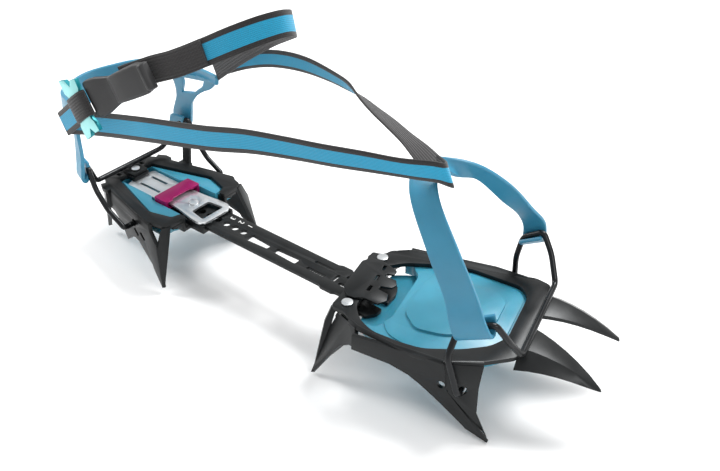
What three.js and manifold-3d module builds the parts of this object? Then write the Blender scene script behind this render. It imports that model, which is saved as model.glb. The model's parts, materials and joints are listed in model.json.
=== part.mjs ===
// Strap-on crampon for a right boot: heel section, sliding linkage bar, front section,
// two hinged wire bails with moulded baskets, and one webbing strap with a toggle buckle.
// Millimetres, +Z up, +X from heel to toe, +Y towards the inner side of the foot.
import * as THREE from 'three';
import Module from 'manifold-3d';

// ---- overall sizes ----
const FRAME_TOP = 42;            // top face of both frames above the ground
const SHEET = 2.5;               // steel sheet of the two frames
const FRONT_X = 195;             // front section origin, ahead of the heel section
const FRONT_Y = 6;
const FRONT_TURN = 15;           // degrees the front section toes in
const HEEL_LEN = 71;
const FRONT_LEN = 98.5;          // rear edge of crossmember line to front rail
const LONG = FRONT_LEN / 98.5;   // how far the front section's plan is stretched
const POINT_REACH = 43;          // front points ahead of the front rail
const POINT_DROP = 15;

// ---- linkage bar and adjuster ----
const BAR_WIDE = 21;
const BAR_THICK = 2;
const BAR_TOP = 36;
const BAR_REAR = 38;
const HOLE_PITCH = 7.3;
const HOLE_COUNT = 9;
const HOLE_FIRST = 45.9;
const HOLE_SIZE = 5;
const PIN_SIZE = 4;
const PIN_X = HOLE_FIRST + 2 * HOLE_PITCH;
const LEVER_THICK = 1.5;
const LEVER_WIDE = 13.2;         // half width of the handle at its front
const FORK_THICK = 1.2;
const CLIP_LEN = 11;
const CLIP_WIDE = 29;

// ---- wires, baskets, webbing ----
const WIRE = 3.4;
const WIRE_HOLE = 5;
const BASKET_THICK = 2.2;
const BAND_TALL = 21;
const BAND_TOP = 103;            // upper edge of the heel band above the ground
const WEB_WIDE = 15;
const WEB_THICK = 1.4;
const GAP = 0.3;                 // between pieces that rest on each other

const wasm = await Module();
wasm.setup();

const P = (x, y, z) => new THREE.Vector3(x, y, z);
const RAD = Math.PI / 180;
const PLATE_MID = FRAME_TOP - SHEET / 2;

// ---- materials ----
const paint = (color, roughness, metalness) =>
  new THREE.MeshStandardMaterial({ color, roughness, metalness });
const BLACK_STEEL = paint(0x303234, 0.45, 0.8);
const BLACK_WIRE = paint(0x1d1e20, 0.35, 0.85);
const SILVER = paint(0xb8bcbd, 0.35, 0.95);
const MAGENTA = paint(0xa31d5f, 0.4, 0.0);
const BLUE_TPU = paint(0x4f9fc6, 0.5, 0.0);
const PALE_TPU = paint(0x6fbfd9, 0.45, 0.0);
const WEBBING = paint(0x2f8fae, 0.85, 0.0);
const BUCKLE = paint(0x454545, 0.5, 0.7);
const TOGGLE = paint(0xc9fbfb, 0.3, 0.8);

// ---- geometry helpers ----
function toSolid(geometry) {
  const g = geometry.clone();
  g.deleteAttribute('normal');
  g.deleteAttribute('uv');
  const merged = weld(g);
  const mesh = new wasm.Mesh({
    numProp: 3,
    vertProperties: new Float32Array(merged.points),
    triVerts: new Uint32Array(merged.faces),
  });
  return new wasm.Manifold(mesh);
}

function weld(geometry) {
  const pos = geometry.attributes.position;
  const index = geometry.index;
  const keys = new Map();
  const points = [];
  const map = [];
  for (let i = 0; i < pos.count; i += 1) {
    const key = [pos.getX(i), pos.getY(i), pos.getZ(i)].map((v) => Math.round(v * 1e4)).join(',');
    if (!keys.has(key)) {
      keys.set(key, points.length / 3);
      points.push(pos.getX(i), pos.getY(i), pos.getZ(i));
    }
    map.push(keys.get(key));
  }
  const faces = [];
  const count = index ? index.count : pos.count;
  for (let i = 0; i < count; i += 3) {
    const t = [0, 1, 2].map((k) => map[index ? index.getX(i + k) : i + k]);
    if (t[0] !== t[1] && t[1] !== t[2] && t[0] !== t[2]) faces.push(...t);
  }
  return { points, faces };
}

function toGeometry(solid) {
  const mesh = solid.getMesh();
  const step = mesh.numProp;
  const points = [];
  for (let i = 0; i < mesh.vertProperties.length; i += step) {
    points.push(mesh.vertProperties[i], mesh.vertProperties[i + 1], mesh.vertProperties[i + 2]);
  }
  const g = new THREE.BufferGeometry();
  g.setAttribute('position', new THREE.Float32BufferAttribute(points, 3));
  g.setIndex(Array.from(mesh.triVerts));
  g.computeVertexNormals();
  return g;
}

const join = (solids) => solids.reduce((a, b) => a.add(b));
const cut = (solid, tools) => tools.reduce((a, b) => a.subtract(b), solid);

// Takes a neighbour out of a solid with a working gap left all round it.
function clear(solid, neighbours, gap = GAP) {
  const ways = [[1, 0, 0], [-1, 0, 0], [0, 1, 0], [0, -1, 0], [0, 0, 1], [0, 0, -1]];
  const tools = [];
  neighbours.forEach((n) => ways.forEach((d) => tools.push(n.translate(d.map((v) => v * gap)))));
  return biggest(cut(solid, tools));
}

// The largest of the separate pieces a cut leaves.
function biggest(solid) {
  return solid.decompose().reduce((a, b) => (a.volume() > b.volume() ? a : b));
}
const mirrorY = (p) => P(p.x, -p.y, p.z);

// A flat outline with its corners rounded to the radius given.
function rounded(points, radius, steps = 3) {
  const out = [];
  const n = points.length;
  points.forEach((p, i) => {
    const a = points[(i + n - 1) % n];
    const b = points[(i + 1) % n];
    const u = new THREE.Vector2(a[0] - p[0], a[1] - p[1]);
    const v = new THREE.Vector2(b[0] - p[0], b[1] - p[1]);
    const r = Math.min(p[2] ?? radius, u.length() * 0.45, v.length() * 0.45);
    if (r < 0.05) {
      out.push([p[0], p[1]]);
      return;
    }
    u.setLength(r);
    v.setLength(r);
    for (let s = 0; s <= steps; s += 1) {
      const t = s / steps;
      const w0 = (1 - t) * (1 - t);
      const w2 = t * t;
      out.push([p[0] + u.x * w0 + v.x * w2, p[1] + u.y * w0 + v.y * w2]);
    }
  });
  return out;
}

function shapeOf(outline, holes = []) {
  const shape = new THREE.Shape(outline.map((p) => new THREE.Vector2(p[0], p[1])));
  holes.forEach((h) => shape.holes.push(new THREE.Path(h.map((p) => new THREE.Vector2(p[0], p[1])))));
  return shape;
}

// A level plate between two heights.
function slab(outline, z0, z1, holes = []) {
  const g = new THREE.ExtrudeGeometry(shapeOf(outline, holes), { depth: z1 - z0, bevelEnabled: false });
  g.translate(0, 0, z0);
  return toSolid(g);
}

// A flat sheet whose outline is given as points in space; holes are [point, radius].
function sheet(points, thick, holes = []) {
  const normal = P(0, 0, 0);
  points.forEach((p, i) => {
    normal.add(P(0, 0, 0).crossVectors(p, points[(i + 1) % points.length]));
  });
  normal.normalize();
  const origin = points.reduce((a, p) => a.add(p), P(0, 0, 0)).divideScalar(points.length);
  const u = points[1].clone().sub(points[0]);
  u.addScaledVector(normal, -u.dot(normal)).normalize();
  const v = P(0, 0, 0).crossVectors(normal, u);
  const flat = (p) => {
    const d = p.clone().sub(origin);
    return [d.dot(u), d.dot(v)];
  };
  const rings = holes.map(([p, r]) => circle(flat(p), r));
  const g = new THREE.ExtrudeGeometry(shapeOf(points.map(flat), rings), { depth: thick, bevelEnabled: false });
  g.translate(0, 0, -thick / 2);
  g.applyMatrix4(new THREE.Matrix4().makeBasis(u, v, normal).setPosition(origin));
  return toSolid(g);
}

function circle([x, y], radius, count = 14) {
  const out = [];
  for (let i = 0; i < count; i += 1) {
    const a = (2 * Math.PI * i) / count;
    out.push([x + radius * Math.cos(a), y + radius * Math.sin(a)]);
  }
  return out;
}

function box(x0, x1, y0, y1, z0, z1) {
  return slab([[x0, y0], [x1, y0], [x1, y1], [x0, y1]], z0, z1);
}

function disc(x, y, radius, z0, z1, count = 18) {
  return slab(circle([x, y], radius, count), z0, z1);
}

// A closed body swept through stations; each station is a list of points in space.
function skin(rings, closed = false) {
  const n = rings[0].length;
  const points = [];
  const faces = [];
  rings.forEach((ring) => ring.forEach((p) => points.push(p.x, p.y, p.z)));
  const last = closed ? rings.length : rings.length - 1;
  for (let i = 0; i < last; i += 1) {
    const a = i * n;
    const b = ((i + 1) % rings.length) * n;
    for (let k = 0; k < n; k += 1) {
      const k1 = (k + 1) % n;
      faces.push(a + k, b + k, b + k1, a + k, b + k1, a + k1);
    }
  }
  if (!closed) {
    const e = (rings.length - 1) * n;
    for (let k = 1; k < n - 1; k += 1) {
      faces.push(0, k, k + 1);
      faces.push(e, e + k + 1, e + k);
    }
  }
  const g = new THREE.BufferGeometry();
  g.setAttribute('position', new THREE.Float32BufferAttribute(points, 3));
  g.setIndex(faces);
  if (volume(points, faces) < 0) {
    const flipped = [];
    for (let i = 0; i < faces.length; i += 3) flipped.push(faces[i], faces[i + 2], faces[i + 1]);
    g.setIndex(flipped);
  }
  return g;
}

function volume(points, faces) {
  const at = (i) => P(points[3 * i], points[3 * i + 1], points[3 * i + 2]);
  let sum = 0;
  for (let i = 0; i < faces.length; i += 3) {
    sum += at(faces[i]).dot(at(faces[i + 1]).cross(at(faces[i + 2])));
  }
  return sum / 6;
}

// The corners of a wire's path turned into bends of the radius given.
function bent(corners, radius, steps = 4) {
  const out = [corners[0]];
  for (let i = 1; i < corners.length - 1; i += 1) {
    const p = corners[i];
    const u = corners[i - 1].clone().sub(p);
    const v = corners[i + 1].clone().sub(p);
    const r = Math.min(radius, u.length() * 0.45, v.length() * 0.45);
    u.setLength(r);
    v.setLength(r);
    for (let s = 0; s <= steps; s += 1) {
      const t = s / steps;
      out.push(p.clone().addScaledVector(u, (1 - t) ** 2).addScaledVector(v, t ** 2));
    }
  }
  out.push(corners[corners.length - 1]);
  return out;
}

function rod(path, radius, sides = 10) {
  const rings = [];
  let side = null;
  path.forEach((p, i) => {
    const a = path[Math.max(i - 1, 0)];
    const b = path[Math.min(i + 1, path.length - 1)];
    const dir = b.clone().sub(a).normalize();
    if (!side) side = Math.abs(dir.z) < 0.9 ? P(0, 0, 1) : P(1, 0, 0);
    side = side.clone().addScaledVector(dir, -side.dot(dir)).normalize();
    const other = P(0, 0, 0).crossVectors(dir, side);
    const ring = [];
    for (let k = 0; k < sides; k += 1) {
      const t = (2 * Math.PI * k) / sides;
      ring.push(p.clone().addScaledVector(side, radius * Math.cos(t)).addScaledVector(other, radius * Math.sin(t)));
    }
    rings.push(ring);
  });
  return skin(rings);
}

// A flexible strip between two edges, thick about the surface the edges span.
function strip(edges, thick, steps = 5) {
  const left = new THREE.CatmullRomCurve3(edges.map((e) => e[0]), false, 'centripetal');
  const right = new THREE.CatmullRomCurve3(edges.map((e) => e[1]), false, 'centripetal');
  const count = (edges.length - 1) * steps;
  const a = [];
  const b = [];
  for (let i = 0; i <= count; i += 1) {
    a.push(left.getPoint(i / count));
    b.push(right.getPoint(i / count));
  }
  const rings = a.map((p, i) => {
    const i0 = Math.max(i - 1, 0);
    const i1 = Math.min(i + 1, count);
    const along = a[i1].clone().add(b[i1]).sub(a[i0]).sub(b[i0]).normalize();
    const across = b[i].clone().sub(p).normalize();
    const n = P(0, 0, 0).crossVectors(along, across).normalize().multiplyScalar(thick / 2);
    return [p.clone().add(n), b[i].clone().add(n), b[i].clone().sub(n), p.clone().sub(n)];
  });
  return skin(rings);
}

// Webbing along a path of [point, across direction] stations.
function web(path, wide = WEB_WIDE, thick = WEB_THICK, steps = 4) {
  const edges = path.map(([p, across]) => {
    const d = across.clone().setLength(wide / 2);
    return [p.clone().sub(d), p.clone().add(d)];
  });
  return strip(edges, thick, steps);
}

// The plane through three points, answering y for an x and a z.
function sidePlane(a, b, c) {
  const n = P(0, 0, 0).crossVectors(b.clone().sub(a), c.clone().sub(a));
  return (x, z) => P(x, a.y - (n.x * (x - a.x) + n.z * (z - a.z)) / n.y, z);
}

const turn = new THREE.Matrix4().makeRotationZ(FRONT_TURN * RAD).setPosition(FRONT_X, FRONT_Y, 0);
const F = (x, y, z) => P(x, y, z).applyMatrix4(turn);

const group = new THREE.Group();
group.name = 'crampon';

function place(name, body, material, matrix = null) {
  const geometry = body.isBufferGeometry ? body : toGeometry(body);
  if (matrix) geometry.applyMatrix4(matrix);
  geometry.computeVertexNormals();
  const mesh = new THREE.Mesh(geometry, material);
  mesh.name = name;
  group.add(mesh);
  return mesh;
}

// ======================= heel section =======================
const heelHalf = [
  [-4, 18], [1, 21.5], [8, 23.8], [44, 33], [HEEL_LEN - 12, 35], [HEEL_LEN - 2, 32.5], [HEEL_LEN, 29],
  [HEEL_LEN, 16.3],
];
const heelInner = [[HEEL_LEN - 4.5, 16.3], [HEEL_LEN - 6, 22.3], [49, 26.8], [5, 13.5]];
const flipped = (list) => list.map(([x, y]) => [x, -y]).reverse();
const heelOutline = [
  ...heelHalf, ...heelInner, [5, 6.5], [12, 6.5], [12, -6.5], [5, -6.5], ...flipped(heelInner), ...flipped(heelHalf),
];
const slot = (x0, x1, y, wide) => rounded([[x0, y - wide / 2], [x1, y - wide / 2], [x1, y + wide / 2],
  [x0, y + wide / 2]], wide / 2);

const HEEL_PIVOT = P(41, 0, 33.4);
const HEEL_TIP = P(HEEL_LEN + 1.8, 41, 2.5);
const REAR_TIP = P(-6.5, 18, 3.5);

let heelFrame;

function heelSide(s) {
  const side = sidePlane(P(1, 22, PLATE_MID), P(59, 35.5, PLATE_MID), HEEL_TIP);
  const outline = [
    [4, 41], [60, 41], [61, 37], [HEEL_LEN - 2.5, 30.5], [HEEL_TIP.x, HEEL_TIP.z], [63.2, 11.5], [62.3, 13.6],
    [54, 18], [46, 22.2], [41, 22.6], [36.3, 20.5], [30.5, 15.5], [27, 19.3], [21, 25.2], [15, 28], [8, 28.6], [4, 32],
  ].map(([x, z]) => side(x, z));
  const holes = [[side(HEEL_PIVOT.x, HEEL_PIVOT.z), WIRE_HOLE / 2]];
  const flange = sheet(outline, SHEET, holes);
  const slots = [[40.8, 29.4, 45.4, 26.2], [48.6, 30.2, 53.4, 27]].map(([xa, za, xb, zb]) => {
    const d = P(0, 6, 0);
    const a = side(xa, za);
    const b = side(xb, zb);
    const dir = b.clone().sub(a).normalize();
    const up = P(0, 0, 0).crossVectors(dir, d).setLength(1.2);
    return toSolid(skin([-1, 1].map((k) => [a, b, b, a].map((p, i) => p.clone().addScaledVector(d, k)
      .addScaledVector(up, i < 2 ? 1 : -1)))));
  });
  const brace = sheet([
    P(HEEL_LEN - 3, 33.4, PLATE_MID), P(HEEL_LEN - 0.5, 28.5, PLATE_MID), HEEL_TIP, side(HEEL_LEN - 2.6, 30.5),
  ], SHEET);
  const rear = sidePlane(P(7, 25.5, PLATE_MID), P(8, 26.2, 28), REAR_TIP);
  const tooth = sheet([
    rear(9, 41), rear(-1.5, 38), rear(-4, 31), REAR_TIP, rear(5.5, 25.5), rear(9, 28.5),
  ], SHEET);
  const ear = slab([[2, 20], [10, 22], [10, 27.3], [5, 27.3], [0, 24.5]], FRAME_TOP - SHEET, FRAME_TOP);
  const bend = toSolid(rod([side(4, PLATE_MID), side(59.5, PLATE_MID)], SHEET / 2, 12));
  const vee = toSolid(rod([side(HEEL_LEN - 2.5, 30), HEEL_TIP.clone().setZ(HEEL_TIP.z + 0.6)], SHEET / 2 - 0.1, 8));
  const parts = cut(join([flange, brace, tooth, bend, vee]), slots);
  if (s > 0) return join([parts, ear]);
  const half = join([parts, ear]);
  return half.mirror([0, 1, 0]);
}

{
  const rivetHole = circle([6, 0], 2.2);
  const plate = slab(rounded(heelOutline, 1.6), FRAME_TOP - SHEET, FRAME_TOP, [
    rivetHole, slot(-1.5, 2.5, 9.6, 2.6), slot(-1.5, 2.5, -9.6, 2.6),
  ]);
  // boot stop turned up on the inner edge
  const stop = sheet([P(19, 30, PLATE_MID - 1), P(25.5, 30, PLATE_MID - 1), P(25.5, 31.6, 54), P(19, 31.6, 54)], 1.8);
  const foot = slab([[18, 24], [26.5, 26], [26.5, 31], [18, 31]], FRAME_TOP - SHEET, FRAME_TOP);
  heelFrame = join([plate, heelSide(1), heelSide(-1), stop, foot]);
  place('heel_frame', heelFrame, BLACK_STEEL);
}

// bar guide: a channel hung under the front of the heel frame
const GUIDE_X0 = 52;
const GUIDE_X1 = 82;
const GUIDE_EAR = HEEL_LEN - 6;
const GUIDE_WALL = 16.8;
const GUIDE_RIVET_X = HEEL_LEN - 2.6;
const GUIDE_RIVET_Y = 23;
const BAR_SLOT = BAR_WIDE / 2 + 0.5;
{
  const floor = BAR_TOP - BAR_THICK - 0.4;
  const wall = 2;
  const out = BAR_SLOT + wall;
  const lip = FRAME_TOP - SHEET - GAP;
  const base = box(GUIDE_X0, GUIDE_X1, -out, out, floor - wall, floor);
  const ears = [-1, 1].map((s) => {
    const side = (x0, x1, y0, y1, z0, z1) => box(x0, x1, Math.min(s * y0, s * y1), Math.max(s * y0, s * y1), z0, z1);
    return join([
      side(GUIDE_X0, GUIDE_X1, BAR_SLOT, out, floor - wall, BAR_TOP + 0.8),
      side(GUIDE_EAR, HEEL_LEN, BAR_SLOT, GUIDE_WALL + wall, floor - wall, floor),
      side(GUIDE_EAR, HEEL_LEN, GUIDE_WALL, GUIDE_WALL + wall, floor - wall, lip),
      side(GUIDE_EAR, HEEL_LEN, GUIDE_WALL, 27, lip - 1.8, lip),
    ]);
  });
  const tips = [-1, 1].map((s) => disc(GUIDE_RIVET_X, s * GUIDE_RIVET_Y, 1.2, lip - 4, FRAME_TOP));
  place('bar_guide', cut(join([base, ...ears]), tips), BLACK_STEEL);
}

// anti-snow plate under the heel frame
{
  const top = FRAME_TOP - SHEET - GAP;
  const outer = rounded([[0, 15.5], [6, 17], [46, 29.5], [62, 29.5], [67, 26], [68, 24],
    [68, -24], [67, -26], [62, -29.5], [46, -29.5], [6, -17], [0, -15.5]], 2);
  const well = rounded([[6.2, 12.2], [48.5, 25.2], [63.5, 21], [65, 16.6], [65, -16.6], [63.5, -21], [48.5, -25.2],
    [6.2, -12.2]], 2);
  const base = slab(outer, 31, top);
  const inset = slab(well, 30, FRAME_TOP - 1.4);
  const half = [[2.5, 12.2], [35.5, 12.2], [38, 15.2], [75, 15.2]];
  const hollow = slab(rounded([...half, ...flipped(half)], 2), 33.2, 50);
  const under = slab(rounded([[5, 11], [46, 24], [61, 24], [61, -24], [46, -24], [5, -11]], 3), 29, 31.8);
  const guideRoom = box(GUIDE_X0 - 0.4, 90, -(BAR_SLOT + 2.4), BAR_SLOT + 2.4, 20, 60);
  const earRoom = box(GUIDE_EAR - 0.4, 90, -27.4, 27.4, 20, 60);
  const mats = join([base, inset]);
  const tray = cut(mats, [hollow, under, guideRoom, earRoom]);
  place('heel_antisnow_plate', clear(tray, [heelFrame]), PALE_TPU);
}

[-1, 1].forEach((s) => {
  const name = s < 0 ? 'guide_rivet_outer' : 'guide_rivet_inner';
  const lip = FRAME_TOP - SHEET - GAP;
  const shank = disc(GUIDE_RIVET_X, s * GUIDE_RIVET_Y, 1.15, lip - 3.2, lip - 0.02, 12);
  const head = disc(GUIDE_RIVET_X, s * GUIDE_RIVET_Y, 2.2, lip - 3.2, lip - 1.82, 12);
  place(name, join([shank, head]), BLACK_STEEL);
});

// adjuster fork plate, rivet and bracket
{
  const outline = rounded([[3, -4], [8, -4], [10.5, -11.5], [42.8, -11], [42.8, 11], [10.5, 11.5], [8, 4], [3, 4]], 1.2);
  const holes = [slot(15, 34, -4.6, 1.8), slot(15, 30, 5.2, 1.8), circle([6, 0], 2.2),
    rounded([[35.5, -6], [40, -6], [40, -3.4], [35.5, -3.4]], 0.4)];
  const rivetX = 6;
  place('adjuster_fork', slab(outline, FRAME_TOP - SHEET - GAP - FORK_THICK, FRAME_TOP - SHEET - GAP, holes), SILVER);
  const head = join([
    disc(rivetX, 0, 2, FRAME_TOP - SHEET - GAP - FORK_THICK - 1, FRAME_TOP + 2.6),
    disc(rivetX, 0, 2.8, FRAME_TOP + 2.2, FRAME_TOP + 3.2),
    disc(rivetX, 0, 3.2, FRAME_TOP - SHEET - GAP - FORK_THICK - 1.3, FRAME_TOP - SHEET - 2 * GAP - FORK_THICK),
  ]);
  place('fork_rivet', head, SILVER);
  const bracket = slab(rounded([[-5, -4.5], [1, -6], [11, -6], [11, 6], [1, 6], [-5, 4.5]], 1.2), FRAME_TOP + GAP,
    FRAME_TOP + 1.9, [circle([rivetX, 0], 2.15)]);
  place('fork_bracket', bracket, BLACK_STEEL);
}

// locking lever: a handle hinged ahead of the fork, with the pin that drops into the bar
const LEVER_HINGE = P(46, 0, 39.5);
const LEVER_SLOPE = -2.2 * RAD;
{
  const z0 = -LEVER_THICK / 2;
  const z1 = LEVER_THICK / 2;
  const outline = rounded([[-2.4, -10.4, 1], [8, -10.4, 1], [14, -11, 3], [27, -LEVER_WIDE, 4], [33, -LEVER_WIDE, 5],
    [36.4, -9, 4], [36.4, 9, 4], [33, LEVER_WIDE, 5], [27, LEVER_WIDE, 4], [14, 11, 3], [8, 10.4, 1],
    [-2.4, 10.4, 1]], 2, 4);
  const window = rounded([[20.5, -7.2], [32, -9], [32, 9], [20.5, 7.2]], 1.6);
  const tilt = new THREE.Matrix4().makeRotationY(-LEVER_SLOPE).setPosition(LEVER_HINGE.x, 0, LEVER_HINGE.z);
  const hole = circle([PIN_X - LEVER_HINGE.x, 0], 2.05);
  place('lock_lever', slab(outline, z0, z1, [window, hole]), SILVER, tilt);
  const shank = disc(PIN_X - LEVER_HINGE.x, 0, PIN_SIZE / 2, -2.6, 1.4);
  const head = disc(PIN_X - LEVER_HINGE.x, 0, 3.1, z1 + 0.02, 1.6);
  const collar = disc(PIN_X - LEVER_HINGE.x, 0, 2.8, -1.9, z0 - 0.02);
  place('lock_pin', join([shank, head, collar]), SILVER, tilt);
}

// lock clip: the hinge block the fork enters and the lever turns in
{
  const x0 = 40;
  const x1 = x0 + CLIP_LEN;
  const half = CLIP_WIDE / 2;
  const body = slab(rounded([[x0, -half], [x1, -half], [x1, -half + 6], [x1 - 1.6, -half + 8], [x1 - 1.6, half - 8],
    [x1, half - 6], [x1, half], [x0, half]], 1), BAR_TOP + 0.8, FRAME_TOP + 1.2);
  const forkLow = FRAME_TOP - SHEET - GAP - FORK_THICK;
  const leverLow = BAR_TOP + 2;
  const slotLow = Math.min(forkLow, leverLow) - GAP;
  const slotCut = box(x0 - 1, x1 + 1, -12.2, 12.2, slotLow, FRAME_TOP - GAP);
  place('lock_clip', cut(body, [slotCut]), MAGENTA);
}

// ======================= linkage bar =======================
const BAR_END = 216.5;
{
  const half = BAR_WIDE / 2;
  const outline = rounded([
    [BAR_REAR, -half], [174, -half], [176, -half - 1.2, 0.3], [184, -half - 1.2, 0.3], [186, -half], [206, -half],
    [206, -half - 6], [213, -half - 6], [BAR_END, -half - 1], [BAR_END, -6], [209, -6, 0.5], [209, 0, 0.5],
    [BAR_END - 1, 0, 0.8], [BAR_END - 2, 9], [211, half + 5], [204, half + 5], [204, half], [183, half],
    [181, half + 1.2, 0.3], [174, half + 1.2, 0.3], [172, half], [BAR_REAR, half],
  ], 1.2);
  const holes = [];
  for (let i = 0; i < HOLE_COUNT; i += 1) holes.push(circle([HOLE_FIRST + i * HOLE_PITCH, 0], HOLE_SIZE / 2));
  const long = (x0, x1, w0, w1, y) => rounded([[x0, y - w0 / 2], [x1, y - w1 / 2], [x1, y + w1 / 2],
    [x0, y + w0 / 2]], 1);
  holes.push(long(110.5, 127.5, 6.6, 4.4, -1.6), long(132.5, 150.5, 4.4, 6, -1.8));
  holes.push(slot(158.5, 173, 4.6, 2), slot(158.5, 173, -3, 2));
  holes.push(rounded([[177.4, -3.6], [179.4, -3.6], [179.4, 3], [177.4, 3]], 0.8));
  holes.push(slot(182.6, 190, 4.6, 2.2), slot(182.6, 190, -3, 2.2));
  place('linkage_bar', slab(outline, BAR_TOP - BAR_THICK, BAR_TOP, holes), BLACK_STEEL);
}

// ======================= front section (built in its own frame, then turned) =======================
const stretched = ([x, y]) => [x * LONG, y];
const frontOuter = [
  [-5.5, -21], [-6.4, -32.5], [1.8, -34], [11.6, -42], [38, -50], [52, -51.5], [66, -50], [84, -42.5],
  [98.5, -32], [98.5, 33.5], [93.6, 35.5], [88.3, 37], [78, 34.5], [69, 34], [55.3, 38.2], [45.3, 36.8],
  [24, 33], [11.8, 31.8], [4, 28.6], [2.4, 24.5], [-1.4, 22.8], [-5.5, 23],
].map(stretched);
const frontInner = [
  [6, -26.5], [12.6, -36.5], [22.5, -43], [40, -45.4], [52, -45.2], [70, -38], [83, -29.5], [89.5, -19.5],
  [89.5, 18.5], [84, 26], [52, 30.6], [29.5, 25.4], [16, 20.4], [6, 12],
].map(stretched);
const TIP1 = P(-13.2, -43.2, 0);
const TIP2 = P(92.9, -54, 0);
const BAR_RIVETS = [[1, -26.8], [2.4, 19.4]];
const FRONT_PIVOT = P(75.2, 0, 26);
const FRONT_BORES = [[-60, -40], [28, 46]];
const FRONT_TIP = P(FRONT_LEN + POINT_REACH, 22, PLATE_MID - POINT_DROP);

function frontSide(s, edge) {
  // edge: plan half width of the fold line at the rear, middle and front of this side
  const m = (p) => P(p.x, -p.y * s, p.z);
  const tip1 = P(TIP1.x, edge.rear + 10.2, 0);
  const tip2 = P(TIP2.x, edge.mid + 4, 0);
  const side = sidePlane(P(30, edge.mid - 1, PLATE_MID), P(64, edge.mid, PLATE_MID), tip2);
  const wall = sheet([
    side(14, 41), side(66, 41), side(68.5, 25), tip2, side(80.4, 4.6), side(79, 5.9),
    side(64.5, 16.5), side(54, 23.4), side(46.7, 27.3), side(36, 30.3), side(14, 32),
  ].map(m), SHEET, [[m(side(65.3, 27.6)), 2.2]]);
  const face = sheet([
    P(65, edge.mid + 0.2, PLATE_MID), P(84, edge.front + 2, PLATE_MID - 1), P(82.2, edge.front + 3.5, 27),
    P(84, edge.mid - 1, 13), tip2, P(89, edge.mid + 2.2, 3.5), P(68.3, edge.mid + 1, 25),
  ].map(m), SHEET, [[m(P(75.2, edge.mid - 1.6, 26)), WIRE_HOLE / 2]]);
  const rearPlane = sidePlane(P(1.8, edge.rear, PLATE_MID), P(13, edge.rear + 9, PLATE_MID), tip1);
  const first = sheet([
    rearPlane(-1, 38), rearPlane(13, 41), rearPlane(17, 33), rearPlane(11.5, 31), rearPlane(5.4, 26.5),
    rearPlane(-3.7, 14.6), tip1, rearPlane(-9, 16), rearPlane(-6, 27),
  ].map(m), SHEET);
  const strut = sheet([
    P(-4.5, edge.rear - 9, PLATE_MID), P(-5.6, edge.rear, PLATE_MID), P(-8.5, edge.rear + 3, 32),
    P(-11.5, edge.rear + 3.5, 20), tip1, rearPlane(-8, 17), rearPlane(-6.5, 27), P(-4.6, edge.rear - 2, 37),
  ].map(m), SHEET);
  const bends = [
    [[8, edge.rear + 6], [14, edge.rear + 9.5]],
    [[14, edge.rear + 9.5], [38, edge.mid - 1.5]],
    [[38, edge.mid - 1.5], [65, edge.mid]],
    [[65, edge.mid], [84, edge.front + 2]],
  ].map(([a, b]) => toSolid(rod([m(P(a[0], a[1], PLATE_MID)), m(P(b[0], b[1], PLATE_MID))], SHEET / 2 + 0.3, 12)));
  const wing = slab([[1, edge.rear - 5], [1.8, edge.rear], [13, edge.rear + 9.4], [38, edge.mid - 1.6],
    [65, edge.mid - 0.2], [84, edge.front + 1.6], [84, edge.front - 6], [65, edge.mid - 6], [38, edge.mid - 6],
    [15, edge.rear + 4]].map(([x, y]) => [x, -y * s]), FRAME_TOP - SHEET, FRAME_TOP);
  return join([wall, face, first, strut, ...bends, wing]);
}

let frontFrame;

function frontPoint(s) {
  const m = (p) => P(p.x, -p.y * s, p.z);
  const tip = FRONT_TIP;
  const x = FRONT_LEN;
  const ridge = (t) => P(x - 1 + (tip.x - x + 1) * t, 24 - 2 * t, PLATE_MID - POINT_DROP * t ** 1.9);
  const rings = [];
  const steps = 6;
  for (let i = 0; i <= steps; i += 1) {
    const t = (i / steps) * 0.985;
    const r = ridge(t);
    const a = 19 * (1 - t) ** 0.85;
    const b = 9.5 * (1 - t) ** 0.75;
    const inn = P(r.x, r.y - a, r.z);
    const out = P(r.x, r.y + b, r.z - 6.5 * (1 - t) ** 0.8);
    const lift = P(0, 0, SHEET / 2 * (1 - 0.35 * t));
    rings.push([inn.clone().add(lift), r.clone().add(lift).add(P(0, 0.4, 0)), out.clone().add(P(0, 1, 0.6)),
      out.clone().add(P(0, -1, -0.8)), r.clone().sub(lift).add(P(0, -0.6, 0)), inn.clone().sub(lift)].map(m));
  }
  rings.push(rings[rings.length - 1].map((p) => m(tip).lerp(p, 0.12)));
  return toSolid(skin(rings));
}

{
  const rivets = [circle([1, -26.8], 2.2), circle([2.4, 19.4], 2.2)];
  const plate = slab(rounded(frontOuter, 3), FRAME_TOP - SHEET, FRAME_TOP, [rounded(frontInner, 4), ...rivets]);
  const outerSide = frontSide(1, { rear: 33, mid: 50, front: 40 });
  const innerSide = frontSide(-1, { rear: 23.5, mid: 37.6, front: 33.5 });
  const shell = join([plate, outerSide, innerSide, frontPoint(1), frontPoint(-1)]);
  const keep = slab(rounded(frontInner, 4), FRAME_TOP - SHEET - 1, FRAME_TOP + 3);
  const bores = [...BAR_RIVETS.map(([x, y]) => disc(x, y, 2.2, 20, 60)), ...FRONT_BORES.map(([y0, y1]) => toSolid(
    rod([P(FRONT_PIVOT.x, y0, FRONT_PIVOT.z), P(FRONT_PIVOT.x, y1, FRONT_PIVOT.z)], WIRE_HOLE / 2, 16)))];
  frontFrame = biggest(cut(shell, [keep, ...bores]));
  place('front_frame', frontFrame, BLACK_STEEL, turn);
}

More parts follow.
